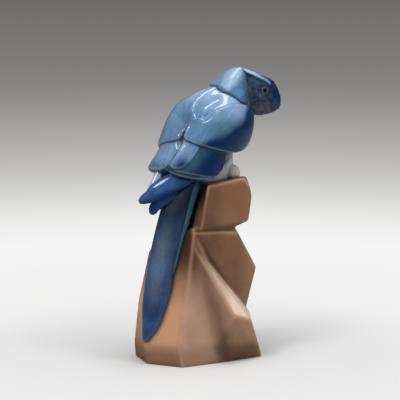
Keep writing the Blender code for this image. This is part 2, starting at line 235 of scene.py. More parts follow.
# Torso from rump to neck: place on the axis, offsets to the side and back, half width and depth
TORSO_ROWS = [
    (-76, -19, 9, 13, 12), (-66, -16.5, 8, 20, 18), (-56, -10.8, 6, 27.7, 23),
    (-44, -6.2, 4, 31.3, 28.5), (-30, -4, 2.3, 34.5, 33.5), (-14, -2.5, 1.2, 38.5, 38),
    (2, 0, 0, 42.5, 42), (16, 1.8, -0.8, 41.5, 40), (30, 5.5, -2.5, 35, 35),
    (42, 8.5, -3.5, 27.5, 28), (52, 9, -3, 19, 19),
]


# Modelling of the back: height above the plain torso, reach, then places along and around it
BACK_RELIEF = [
    (3.2, 4.2, [(40, -8), (27, -10), (18, -7.5), (8, -6), (3, -1), (-4, 6)]),
    (2.0, 4.2, [(-4, 6), (-14, 3), (-24, 2)]),
    (-4.2, 7.0, [(25, 16), (13, 9), (3, 13)]),
    (-3.2, 7.0, [(7, -32), (-3, -24), (-8, -12)]),
    (2.4, 5.5, [(32, -24), (18, -25), (9, -40)]),
    (-2.6, 2.6, [(-24, -1), (-33, -1)]),
    (-4.5, 6.0, [(-67, -38), (-69, -20), (-68, 0), (-66, 14)]),
]


def back_relief(u, angle):
    """Height of the ridges of the back above the plain torso, or depth of its hollows below it."""
    if abs(angle) > 75:
        return 0.0
    total = 0.0
    scale = math.radians(1) * BACK_RADIUS
    for height, reach, line in BACK_RELIEF:
        nearest = 1e9
        for (u0, a0), (u1, a1) in zip(line, line[1:]):
            du, da = u1 - u0, (a1 - a0) * scale
            along = ((u - u0) * du + (angle - a0) * scale * da) / (du * du + da * da)
            along = min(max(along, 0.0), 1.0)
            off = u - u0 - du * along, (angle - a0) * scale - da * along
            nearest = min(nearest, math.hypot(*off))
        total += height * math.exp(-((nearest / reach) ** 2))
    return total


def torso_point(u, angle, lift=0.0):
    """A point on the torso, raised by lift. Angle 0 is the spine and 90 the bird's right side."""
    side, back, half_side, half_back = between(TORSO_ROWS, u)
    turn = math.radians(angle)
    lift += back_relief(u, angle)
    p = side + (half_side + lift) * math.sin(turn)
    q = back + (half_back + lift) * math.cos(turn)
    return TORSO_CENTRE + TORSO_AXIS * u + TORSO_SIDE * p + TORSO_BACK * q


def torso():
    low, high = TORSO_ROWS[0][0], TORSO_ROWS[-1][0]
    steps, around = 64, 96
    rings = []
    for k in range(steps + 1):
        u = low + (high - low) * k / steps
        sink = RUMP_SINK * min(max((RUMP_TOP - u) / 8, 0.0), 1.0)
        rings.append([torso_point(u, -180 + 360 * i / around, -sink) for i in range(around)])
    return loft("torso", rings)


# Wing plates: rows of angle around the torso, then top, bottom, and height proud of it at each
PLATES = {
    "right_wing": [
        (1, -9, -26, 2, 4.8), (7, -4, -28.5, 2.2, 4.8), (16, 3, -28.6, 2.8, 5),
        (26, 13, -29.2, 3.8, 5.2), (36, 24, -28.9, 4.6, 5.6), (51, 31, -27.6, 4.6, 6),
        (70, 36, -24, 4.2, 6.6), (90, 38, -18.5, 3.6, 7.2), (102, 38, -13, 2.8, 7.4),
        (112, 35, -6, 2, 6.4), (119, 30, 1, 1.4, 4.6),
    ],
    "left_wing": [
        (-110, 20, -36, 0, 4), (-90, 14, -36, 0, 4.6), (-65, 8, -34.8, 0, 4.8),
        (-50, 6, -34.6, -0.4, 5), (-36, 2, -34.6, -0.6, 5), (-21, -2, -33.3, -0.6, 5),
        (-10, -6, -31, -0.4, 4.8), (-4, -8, -28.8, -0.4, 4.8), (-1, -9, -26, -0.4, 4.6),
    ],
    "right_covert": [
        (1, -26, -54, 0.8, 3.6), (4, -24, -57, 0.8, 4.2), (9, -22, -58.8, 0.5, 4.5),
        (20, -20, -59.8, 0.5, 4.6), (29, -20, -58.6, 0.5, 4.4), (35.5, -20, -55.3, 0.5, 4.2),
    ],
    "right_flight": [
        (4, -40, -60.4, 0.5, 2.2), (14, -24, -60.9, 0.5, 2.6), (30, -20, -61.4, 0.5, 3.2),
        (50, -18, -60, 0.6, 4.6), (66, -16, -57.8, 0.8, 6.4), (80, -14, -54.8, 1, 8),
        (87, -22, -52.4, 3, 8.8), (92, -30, -50.2, 6, 9), (97, -35.5, -48, 7, 9),
        (100.5, -40, -46, 8, 9),
    ],
    "under_covert": [
        (0, -44, -62.4, 0, 1), (14, -30, -63, 0, 1.4), (30, -26, -64.2, 0, 1.8), (50, -24, -64, 0, 3),
        (71, -22, -61.8, 0, 5.4), (86, -24, -57.4, 1, 8), (94, -32, -53.6, 4, 9),
        (100, -41, -49.5, 7, 9.6),
    ],
    "left_covert": [
        (-112, -24, -60, 0, 3), (-92, -26, -63, 0, 3.6), (-72, -26, -64.2, 0, 4.2),
        (-54, -26, -64.6, 0, 4.6), (-38, -24, -64.3, 0, 4.8), (-25, -22, -64.3, 0.5, 4.8),
        (-16, -22, -64, 0.5, 4.6), (-10, -28, -63.2, 1, 4.6), (-6, -42, -62.4, 2, 4.6),
        (-1, -54, -61, 3.2, 4.4),
    ],
    "spine_covert": [
        (-13, -30, -58, 0.6, 2.6), (-8, -24, -59, 1, 3), (-2, -22, -59, 1, 3.2),
        (3, -22, -56, 0.6, 2.8),
    ],
}


def eased(count):
    """Places from 0 to 1 that crowd towards both ends."""
    return [0.5 - 0.5 * math.cos(math.pi * i / (count - 1)) for i in range(count)]


def plate(name, rows):
    """A wing plate laid over the torso, thicker towards its lower edge, with rounded borders."""
    low, high = rows[0][0], rows[-1][0]
    columns = max(16, round((high - low) / 2.5) + 3)
    steps = 34
    outer, inner = [], []
    for s in eased(columns):
        angle = low + (high - low) * s
        u_top, u_bottom, lift_top, lift_bottom = between(rows, angle)
        for t in eased(steps):
            u = u_top + (u_bottom - u_top) * t
            radius = between(TORSO_ROWS, u)[2]
            side_gap = math.radians(min(angle - low, high - angle)) * radius
            gap = min(side_gap, u_top - u, u - u_bottom) / PLATE_EDGE
            round_off = math.sqrt(max(0.0, 1 - (1 - min(max(gap, 0.0), 1.0)) ** 2))
            lift = lift_top + (lift_bottom - lift_top) * t
            outer.append(torso_point(u, angle, -0.8 + (lift + 0.8) * round_off))
            inner.append(torso_point(u, angle, -PLATE_ROOT))
    faces = []
    total = columns * steps
    for s in range(columns - 1):
        for t in range(steps - 1):
            a = s * steps + t
            faces.append((a, a + 1, a + steps + 1, a + steps))
            faces.append((total + a, total + a + steps, total + a + steps + 1, total + a + 1))
    border = [s * steps for s in range(columns)]
    border += [(columns - 1) * steps + t for t in range(1, steps)]
    border += [s * steps + steps - 1 for s in range(columns - 2, -1, -1)]
    border += [t for t in range(steps - 2, 0, -1)]
    for i, a in enumerate(border):
        b = border[(i + 1) % len(border)]
        faces.append((a, b, total + b, total + a))
    return add_mesh(name, outer + inner, faces)


def finer(rows, count):
    """More stations between the given ones."""
    keyed = [(i, *row) for i, row in enumerate(rows)]
    return [tuple(between(keyed, (len(rows) - 1) * k / (count - 1))) for k in range(count)]


def blade(name, stations):
    """A wing tip through its stations, its flat side towards TIP_FACE."""
    stations = finer(stations, 40)
    centres = [TORSO_CENTRE + Vector(row[:3]) for row in stations]
    rings = []
    for i, row in enumerate(stations):
        ahead = (centres[min(i + 1, len(centres) - 1)] - centres[max(i - 1, 0)]).normalized()
        across = ahead.cross(TIP_FACE).normalized()
        out = across.cross(ahead).normalized()
        rings.append(oval(centres[i], across, out, row[3], row[4], TIP_POWERS, 40))
    return loft(name, rings)


# The way that the flat sides of the wing tips face
TIP_FACE = Vector((-0.15, -1.0, 0.25)).normalized()

# Wing tips from root to point: place from the torso's centre, half width and half thickness
TIP_ROWS = {
    "right_tip": [
        (-13, -22, -43, 9, 4.5), (-30, -33, -50, 10.6, 5.8), (-49.5, -35, -60, 9.2, 6),
        (-58, -35, -66.2, 7.4, 5), (-66.8, -35, -71, 4.8, 3.6), (-71, -35, -73.2, 2, 1.8),
    ],
    "right_second": [
        (-22, -23, -50, 8, 4.5), (-40, -32, -66, 8, 5), (-53, -32, -77, 6, 4.5),
        (-56.5, -31, -83.5, 4.6, 3.5), (-57.8, -31, -87, 2, 2),
    ],
    "left_tip": [
        (-38, -20, -26, 4, 4), (-46.5, -23, -38, 4.5, 4.5), (-52.5, -28, -50, 4.6, 4.5),
        (-57.5, -32, -59, 4, 4), (-63, -34, -66, 2, 2),
    ],
}


# Tail feathers: share of the way up from the tip, left edge, right edge, front face, half thickness
TAIL_ROWS = {
    "tail": [
        (0.0, -60.5, -55.5, -28, 4), (0.025, -62.2, -52, -29.5, 7), (0.10, -63, -43.8, -31, 9),
        (0.215, -63.4, -37, -32, 10), (0.36, -60.6, -31.5, -33, 10), (0.47, -57.8, -30, -33.5, 10),
        (0.61, -53, -25, -33.5, 10), (0.74, -48, -19.7, -33.5, 10), (0.89, -41.5, -13.5, -33, 10),
        (0.97, -38.5, -10, -30, 10), (1.08, -32, -5, -20, 8),
    ],
    "tail_second": [
        (0.30, -46, -36, -25, 6), (0.36, -44, -30.5, -27.5, 8), (0.47, -42, -25.6, -29.5, 9),
        (0.61, -38, -20.5, -30, 9), (0.74, -32, -15, -30, 9), (0.89, -26, -8.5, -29.5, 9),
        (0.97, -22, -4, -26.5, 9), (1.05, -17, -1, -19, 8),
    ],
}


def tail_feathers():
    """The long tail feathers that lie down the rock."""
    across = Vector((0.93, -0.36, 0)).normalized()
    out = Vector((across.y, -across.x, 0))
    made = []
    for name, rows in TAIL_ROWS.items():
        rings = []
        low, high = rows[0][0], rows[-1][0]
        for i in range(70):
            share = low + (high - low) * (i / 69) ** 1.5
            left, right, front, half_thick = between(rows, share)
            height = TAIL_TIP + (TAIL_ROOT - TAIL_TIP) * share
            centre = Vector(((left + right) / 2, front, height)) - out * half_thick
            half_width = (right - left) / 2 / across.x
            rings.append(oval(centre, across, out, half_width, half_thick, TAIL_POWERS, 48))
        made.append(loft(name, rings))
    return made


def head_point(forward, near, up):
    """A point of the head: forward along its looks, near towards the viewer's side, and up."""
    ahead = Vector((math.cos(HEAD_YAW), math.sin(HEAD_YAW), 0))
    side = Vector((math.sin(HEAD_YAW), -math.cos(HEAD_YAW), 0))
    return HEAD_CENTRE + ahead * forward + side * near + Vector((0, 0, up))


# Head chunks, each mirrored through the middle of the head: forward, half width there, up
HEAD_CHUNKS = {
    "hood": [
        (-32, 13, 9.5), (-18.5, 15.5, 17.5), (-20, 3, 22.5), (-10, 3, 27.3), (-5, 7, 27.5), (3, 9, 24),
        (-1, 17, 5), (-24.5, 17.5, 3.5), (-12.5, 23, -4.5), (0, 19, -9.5), (4, 15, -14), (-26, 4, -4),
        (-18, 9, -14), (-6, 14, -24), (2, 10, -25),
    ],
    "face": [
        (-0.5, 7, 24.5), (22, 8, 17.5), (31, 8, 11), (35, 10, 2), (34, 10, -8), (31, 8, -20),
        (12.5, 9, -23.5), (3, 12, -19), (0, 14.5, -7), (-2, 13.5, 9),
    ],
    "brow": [
        (-5, 8, 28), (7, 7, 25), (22, 7, 20), (33, 6, 15.5), (32.5, 9.5, 11), (21, 10.4, 15.5),
        (6.5, 10.8, 20.5), (-2, 10.2, 23.5),
    ],
    "beak": [
        (31, 6, 16.5), (38, 6, 12.5), (43.5, 6, 4.5), (48, 5, -5.5), (48.5, 4, -14), (46.5, 3, -19),
        (39, 6, -18), (33, 9.5, -14), (35.5, 11, -6), (34.5, 11, 3), (32, 9.8, 10.5),
    ],
    "jaw": [
        (5, 13, -12), (8, 11.5, -20), (14, 8.5, -24), (22, 7.5, -25), (31, 6, -23.7), (40, 4.5, -21.7),
        (46, 3, -18.5), (44, 6, -12), (35, 10, -10), (20, 12, -10), (8, 13.5, -8),
    ],
}


def head():
    made = []
    for name, rows in HEAD_CHUNKS.items():
        corners = [head_point(f, w * sign, z) for f, w, z in rows for sign in (1, -1)]
        made.append(hull(name, corners))
    for sign in (1, -1):
        centre = head_point(EYE_PLACE[0], sign * (EYE_PLACE[1] - EYE_RADIUS * 0.55), EYE_PLACE[2])
        made.append(ball(f"eye_{'near' if sign > 0 else 'far'}", centre, (EYE_RADIUS,) * 3))
    return made


def legs():
    """The belly down to the perch, and the toes that grip it."""
    perch = Vector((TORSO_CENTRE.x, TORSO_CENTRE.y, PERCH))
    belly = [
        (-12, 5, 16, 14), (0, 6.5, 19, 16), (8, 6.5, 21, 18), (16, 6, 23, 20), (26, 4, 25, 24),
        (38, 0, 28, 26),
    ]
    rings = []
    for z, shift, half_x, half_y in finer(belly, 24):
        centre = perch + Vector((shift, 5, z))
        rings.append(oval(centre, X_AXIS, Y_AXIS, half_x, half_y, (1, 1), 64))
    made = [loft("belly", rings)]
    for k, (x, y) in enumerate(((30, -2), (28, 7), (-7, 24), (1, 27))):
        made.append(ball(f"toe_{k}", perch + Vector((x, y, 7.5)), (7, 6, 8.6)))
    return made


def fused(name, parts, cell, rounds):
    """One fine mesh around overlapping parts, its edges softened as a glaze softens them."""
    obj = shaped(name, lambda work: [work.from_mesh(part.data) for part in parts])
    total = obj.data
    remesh = obj.modifiers.new("fuse", "REMESH")
    remesh.mode = "VOXEL"
    remesh.voxel_size = cell * MM
    soften = obj.modifiers.new("soften", "SMOOTH")
    soften.factor = 0.5
    soften.iterations = rounds
    final = obj.evaluated_get(bpy.context.evaluated_depsgraph_get())
    shape = bpy.data.meshes.new_from_object(final)
    obj.modifiers.clear()
    obj.data = shape
    bpy.data.meshes.remove(total)
    shape.shade_smooth()
    return obj


def blur(values, edges, rounds):
    """Values spread to neighbouring points, over and over."""
    values = np.array(values, dtype=np.float64)
    if values.ndim > 1:
        return np.stack([blur(column, edges, rounds) for column in values.T], axis=1)
    count = np.bincount(edges.ravel(), minlength=len(values)).astype(np.float64)
    for _ in range(rounds):
        total = np.bincount(edges[:, 0], values[edges[:, 1]], len(values))
        total += np.bincount(edges[:, 1], values[edges[:, 0]], len(values))
        values = 0.5 * values + 0.5 * total / count
    return values


def ramp(values, low, high):
    """0 below low, 1 above high and eased between."""
    t = np.clip((np.asarray(values, dtype=float) - low) / (high - low), 0, 1)
    return t * t * (3 - 2 * t)


def bell(values, width):
    """1 where values are zero, fading over a width on both sides."""
    return np.exp(-((values / width) ** 2))


def off_line(points, line):
    """Each point's gap to a line of corners, its offset from it, and the line's direction there."""
    points = np.asarray(points, dtype=float)
    best = np.full(len(points), 1e9)
    off, way = np.zeros_like(points), np.zeros_like(points)
    for a, b in zip(line, line[1:]):
        a, b = np.array(a), np.array(b)
        along = np.clip((points - a) @ (b - a) / ((b - a) @ (b - a)), 0, 1)
        here = points - a - along[:, None] * (b - a)
        gap = np.linalg.norm(here, axis=1)
        nearer = gap < best
        best[nearer], off[nearer], way[nearer] = gap[nearer], here[nearer], b - a
    return best, off, way


def side_of(points, line):
    """How far points in a plane lie to the left of a line, or below zero to its right."""
    gap, off, way = off_line(points, line)
    return np.sign(way[:, 0] * off[:, 1] - way[:, 1] * off[:, 0]) * gap


def within_reach(part, points, margin):
    """A part's search tree, and the numbers of the points that lie within a margin of its box."""
    tree = BVHTree.FromObject(part, bpy.context.evaluated_depsgraph_get())
    corners = np.array([v.co for v in part.data.vertices]) / MM
    low, high = corners.min(axis=0) - margin, corners.max(axis=0) + margin
    return tree, np.nonzero(np.all((points > low) & (points < high), axis=1))[0]


def nearest_parts(points, parts):
    """For each point, the number of the nearest part, and the gap to the next nearest in mm."""
    best, second = np.full(len(points), 99.0), np.full(len(points), 99.0)
    which = np.zeros(len(points), dtype=np.int32)
    metres = [Vector(p * MM) for p in points.astype(float)]
    for number, part in enumerate(parts):
        tree, close = within_reach(part, points, 4)
        for i in close:
            gap = tree.find_nearest(metres[i])[3] / MM
            if gap < best[i]:
                best[i], second[i], which[i] = gap, best[i], number
            elif gap < second[i]:
                second[i] = gap
    return which, second


def closeness(points, parts, reach):
    """1 where a point touches the surface of other parts, fading over a reach in millimetres."""
    gap = np.full(len(points), 1e9)
    for part in parts:
        tree, close = within_reach(part, points, 3 * reach)
        for i in close:
            found = tree.find_nearest(Vector(points[i].astype(float) * MM), 3 * reach * MM)
            if found[0] is not None:
                gap[i] = min(gap[i], found[3] / MM)
    return bell(gap, reach)


def torso_place(points):
    """Place along the torso's axis and angle around it, for points in millimetres."""
    rel = points - np.array(TORSO_CENTRE)
    u = rel @ np.array(TORSO_AXIS)
    places = np.arange(-90, 60)
    side, back = np.array([between(TORSO_ROWS, k)[:2] for k in places]).T
    across = rel @ np.array(TORSO_SIDE) - np.interp(u, places, side)
    behind = rel @ np.array(TORSO_BACK) - np.interp(u, places, back)
    return u, np.degrees(np.arctan2(across, behind))


def head_place(points):
    """Forward, near and up in the head's own directions, for points in millimetres."""
    rel = points - np.array(HEAD_CENTRE)
    c, s = math.cos(HEAD_YAW), math.sin(HEAD_YAW)
    return rel[:, 0] * c + rel[:, 1] * s, rel[:, 0] * s - rel[:, 1] * c, rel[:, 2]


def listed(items, name, width, kind):
    """One property of a mesh's points or edges, a row for each."""
    values = np.empty(len(items) * width, dtype=kind)
    items.foreach_get(name, values)
    return values.reshape(-1, width)


class Surface:
    """The fine mesh of one piece as arrays, with the masks that its glaze reads."""

    def __init__(self, name, parts, cell, rounds):
        self.piece = fused(name, parts, cell, rounds)
        self.cell = cell
        mesh = self.piece.data
        self.points = listed(mesh.vertices, "co", 3, np.float32) / MM
        self.normals = listed(mesh.vertices, "normal", 3, np.float32)
        self.edges = listed(mesh.edges, "vertices", 2, np.int32)
        self.gap = np.full(len(self.points), 99.0)

    def split(self, parts):
        """Finds the part nearest to each point and the gap to the next, which is far until then."""
        self.names = [part.name for part in parts]
        self.part, self.gap = nearest_parts(self.points, parts)

    def on(self, name):
        """1 where the named part is the nearest and 0 elsewhere."""
        return (self.part == self.names.index(name)).astype(float)

    def bulging(self, rounds):
        """How far points stand out of their surroundings: above zero on ridges, below in grooves."""
        away = self.points - blur(self.points, self.edges, rounds)
        return np.einsum("ij,ij->i", away, self.normals)

    def relief(self):
        """Masks from how the surface bends: ridges lighter, thin glaze and painted highlight, and
        hollows darker, pooled glaze and painted shade, darkest where two parts meet.
        """
        fine = self.bulging(max(3, round((1.6 / self.cell) ** 2)))
        edge_and_glint = ramp(fine, 0.05, 0.32)
        seam = bell(self.gap, 1.0) * ramp(-fine, 0.0, 0.10)
        return edge_and_glint, np.maximum(0.8 * ramp(-fine, 0.06, 0.36), seam)

    def blank(self):
        """An empty mask for each blue glaze and for the ink, which is black paint on the eye and
        painted shadow in deep recesses.
        """
        return {name: np.zeros(len(self.points)) for name in [*GLAZES, "ink_and_shade"]}

    def paint(self, masks, rounds, edge_and_glint, pool_and_shade, ink_and_shade_rounds=1, **others):
        """Stores what the glaze reads: the masks softened over some rounds, and the other layers."""
        layers = {"edge_and_glint": blur(edge_and_glint, self.edges, 1), "pool_and_shade": blur(pool_and_shade, self.edges, 1)} | others
        for name, values in masks.items():
            soft = blur(values, self.edges, ink_and_shade_rounds if name == "ink_and_shade" else rounds)
            layers[name] = np.clip(soft, 0, 1)
        for name, values in layers.items():
            layer = self.piece.data.attributes.new(name, "FLOAT", "POINT")
            layer.data.foreach_set("value", np.asarray(values, dtype=np.float32))
        return self.piece


class Graph:
    """The nodes of a material or of the world, with short ways to add and link them."""

    def __init__(self, tree):
        self.nodes = tree.nodes
        self.links = tree.links

    def put(self, socket, value):
        """Sets an input to a number or a colour, or links it to an output."""
        if isinstance(value, (int, float)):
            socket.default_value = value
        elif isinstance(value, tuple):
            socket.default_value = (*value, 1.0)
        else:
            self.links.new(value, socket)

    def add(self, kind, **inputs):
        """A new node with some of its inputs set or linked, their names written with underscores."""
        node = self.nodes.new("ShaderNode" + kind)
        for name, value in inputs.items():
            self.put(node.inputs[name.replace("_", " ")], value)
        return node

    def place(self):
        """Place in the object's own directions."""
        return self.add("TexCoord").outputs["Object"]

    def attribute(self, name):
        node = self.add("Attribute")
        node.attribute_name = name
        return node.outputs["Fac"]

    def noise(self, scale, detail, rough, place):
        node = self.add("TexNoise", Scale=scale, Detail=detail, Roughness=rough, Vector=place)
        return node.outputs["Fac"]

    def combine(self, operation, a, b):
        node = self.add("Math")
        node.operation = operation
        self.put(node.inputs[0], a)
        self.put(node.inputs[1], b)
        return node.outputs[0]

    def times(self, a, b):
        return self.combine("MULTIPLY", a, b)

    def plus(self, a, b):
        return self.combine("ADD", a, b)

    def rest(self, value):
        """What is left of 1 after a value."""
        return self.combine("SUBTRACT", 1.0, value)

    def spread(self, value, low, high, to_low=0.0, to_high=1.0):
        """A value between low and high, eased onto the range between to_low and to_high."""
        node = self.add("MapRange", Value=value, From_Min=low, From_Max=high)
        self.put(node.inputs["To Min"], to_low)
        self.put(node.inputs["To Max"], to_high)
        node.interpolation_type = "SMOOTHSTEP"
        return node.outputs["Result"]

    def mixed(self, factor, first, second, blend="MIX"):
        node = self.add("Mix")
        node.data_type = "RGBA"
        node.blend_type = blend
        for number, value in ((0, factor), (6, first), (7, second)):
            self.put(node.inputs[number], value)
        return node.outputs[2]

    def layered(self, amount, cloud, below, tint):
        """One glaze over another, its soft border broken up by a cloudy noise."""
        wander = self.times(self.combine("SUBTRACT", cloud, 0.5), 2.8)
        shift = self.times(wander, self.times(amount, self.rest(amount)))
        total = self.plus(amount, shift)
        total.node.use_clamp = True
        return self.mixed(total, below, tint)

    def bumpy(self, shader, height, distance):
        """Fine unevenness of a surface, from a height and how many metres it stands for."""
        bump = self.add("Bump", Strength=0.5, Distance=distance, Height=height)
        self.put(shader.inputs["Normal"], bump.outputs["Normal"])


def material(name):
    mat = bpy.data.materials.new(name)
    mat.use_nodes = True
    return mat, Graph(mat.node_tree), mat.node_tree.nodes["Principled BSDF"]


# Blue glazes, as they look in flat light, in the order in which they lie over the sky blue. Pale also
# lays painted sheen and highlights, and deep also lays painted shade on sides turned from the light.
SKY = (0.095, 0.205, 0.37)
GLAZES = {
    "pale": (0.325, 0.45, 0.63),
    "teal": (0.04, 0.14, 0.18),
    "violet": (0.032, 0.080, 0.235),
    "slate": (0.026, 0.038, 0.060),
    "deep": (0.0, 0.019, 0.078),
    "plum": (0.085, 0.065, 0.085),
    "bone": (0.60, 0.56, 0.50),
}
FACE_DARK = (0.006, 0.014, 0.030)
FACE_LIGHT = (0.075, 0.10, 0.16)
# Edge colour: thin glaze and painted highlights. Pool colour: pooled glaze and painted shade. Ink:
# black paint and painted shadow.
BLUE_EDGE_AND_GLINT = (0.38, 0.53, 0.66)
BLUE_POOL_AND_SHADE = (0.012, 0.018, 0.035)
INK_AND_SHADE = (0.004, 0.006, 0.012)


def feather_glaze():
    """Blue glazes airbrushed over each other, lighter on edges, thin glaze there with painted
    highlights, and darker in grooves, pooled glaze there with painted shade.

    Fine barbs streak it, counted across and along the feathers. Where the masks say so the glaze
    is mottled, as on the face, or matt, as at the top of the tail.
    """
    mat, g, shader = material("feather_glaze")
    place = g.place()
    cloud = g.noise(60.0, 4.0, 0.6, place)
    mottle = g.noise(260.0, 3.0, 0.6, place)
    blotch = g.noise(150.0, 3.0, 0.6, place)
    grain = g.add("CombineXYZ", X=g.attribute("across"), Y=g.attribute("along"))
    barbs = g.noise(1.0, 3.0, 0.65, grain.outputs[0])
    colour = g.mixed(g.spread(cloud, 0.35, 0.7), SKY, tuple(0.82 * c for c in SKY))
    for name, tint in GLAZES.items():
        colour = g.layered(g.attribute(name), cloud, colour, tint)
    mottled = g.attribute("mottled")
    dim = g.spread(blotch, 0.50, 0.62, 0.0, 0.7)
    lit = g.spread(blotch, 0.46, 0.34, 0.0, 0.6)
    for patch, tint in ((dim, FACE_DARK), (lit, FACE_LIGHT)):
        colour = g.mixed(g.times(patch, mottled), colour, tint)
    streak = g.spread(barbs, 0.36, 0.66, 0.90, 1.08)
    fleck = g.spread(mottle, 0.3, 0.7, 0.93, 1.06)
    shade = g.add("HueSaturation", Value=g.times(streak, fleck), Color=colour)
    colour = shade.outputs["Color"]
    # Edges lighter with painted highlights, hollows and seams darker with painted shade, ink black
    # with painted shadow in recesses.
    for name, tint in (("edge_and_glint", BLUE_EDGE_AND_GLINT), ("pool_and_shade", BLUE_POOL_AND_SHADE), ("ink_and_shade", INK_AND_SHADE)):
        colour = g.mixed(g.attribute(name), colour, tint)
    g.put(shader.inputs["Base Color"], colour)
    matt = g.attribute("matt")
    rough = g.plus(g.spread(mottle, 0.3, 0.7, 0.15, 0.24), matt)
    g.put(shader.inputs["Roughness"], g.combine("MINIMUM", rough, 0.7))
    g.put(shader.inputs["Coat Weight"], g.times(g.rest(matt), 0.45))
    shader.inputs["Specular IOR Level"].default_value = 0.3
    shader.inputs["Coat Roughness"].default_value = 0.06
    g.bumpy(shader, g.plus(cloud, g.times(barbs, 0.6)), 0.00012)
    return mat


# Brown glazes of the rock, in the order in which they lie over the clay. Light paints lamp light on
# faces turned left, pale paints sheen on faces turned up, and shade paints shade.
CLAY = (0.28, 0.134, 0.070)
CLAY_PALE = (0.86, 0.64, 0.50)
ROCK_GLAZES = {
    "grey": (0.40, 0.235, 0.150),
    "light": (0.56, 0.30, 0.172),
    "pale": CLAY_PALE,
    "shade": (0.10, 0.048, 0.028),
}
BAND_FILTER = (0.66, 0.64, 0.62)
# Edge colour: thin glaze and painted highlights on ridges. Pool colour: pooled glaze and painted shade
# in hollows and under the bird.
ROCK_EDGE_AND_GLINT = (0.52, 0.27, 0.155)
ROCK_POOL_AND_SHADE = (0.030, 0.014, 0.008)


def rock_glaze():
    """Brown satin glaze, pinkish with painted highlights on edges, painted light on lit faces, painted
    shade in hollows.
    """
    mat, g, shader = material("rock_glaze")
    place = g.place()
    cloud = g.noise(32.0, 4.0, 0.55, place)
    mottle = g.noise(110.0, 4.0, 0.6, place)
    speck = g.noise(900.0, 2.0, 0.6, place)
    colour = g.mixed(g.spread(cloud, 0.3, 0.7), CLAY, tuple(0.84 * c for c in CLAY))
    for name, tint in ROCK_GLAZES.items():
        colour = g.layered(g.attribute(name), cloud, colour, tint)
    colour = g.mixed(g.spread(mottle, 0.55, 0.85, 0.0, 0.06), colour, CLAY_PALE)
    filtered = g.mixed(1.0, colour, BAND_FILTER, "MULTIPLY")
    for name, tint in (("band", filtered), ("edge_and_glint", ROCK_EDGE_AND_GLINT), ("pool_and_shade", ROCK_POOL_AND_SHADE)):
        colour = g.mixed(g.attribute(name), colour, tint)
    shade = g.add("HueSaturation", Value=g.spread(speck, 0.3, 0.7, 0.965, 1.03), Color=colour)
    g.put(shader.inputs["Base Color"], shade.outputs["Color"])
    g.put(shader.inputs["Roughness"], g.spread(mottle, 0.3, 0.7, 0.30, 0.40))
    shader.inputs["Specular IOR Level"].default_value = 0.22
    g.bumpy(shader, g.plus(mottle, g.times(speck, 0.2)), 0.0002)
    return mat


def finish(piece, mat):
    """Glazes a piece and says what it rides on and replaces."""
    piece.data.materials.clear()
    piece.data.materials.append(mat)
    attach(piece, "root")
    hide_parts("parrot_figurine")


# Wing plates from the uppermost to the lowest
PLATE_ORDER = [
    "right_wing", "left_wing", "right_covert", "left_covert", "spine_covert", "right_flight",
    "under_covert",
]


def plate_seams(u, angle, skin):
    """Dark lines on the plates' borders, pooled glaze and painted shade, and pale lines of painted
    highlight just inside, where no upper plate lies.
    """
    dark, pale = np.zeros(len(u)), np.zeros(len(u))
    order = {name: k for k, name in enumerate(PLATE_ORDER)}
    rank = np.array([order.get(name, len(order)) for name in skin.names])[skin.part]
    for name, k in order.items():
        rows = np.array(PLATES[name], dtype=float)
        top = np.interp(angle, rows[:, 0], rows[:, 1])
        bottom = np.interp(angle, rows[:, 0], rows[:, 2])
        sides = np.radians(np.minimum(angle - rows[0, 0], rows[-1, 0] - angle)) * TORSO_RADIUS
        inside = np.minimum(np.minimum(u - bottom, top - u), sides)
        lower = ramp(bottom + 14 - u, 0, 10) if name.endswith("wing") else 1.0
        seam = bell(inside - 0.1, 0.6) * (rank >= k)
        dark = np.maximum(dark, seam * ramp(top - u, 1.0, 3.0) * lower)
        pale = np.maximum(pale, bell(inside - 1.6, 0.55) * (rank == k) * lower)
    return dark, pale


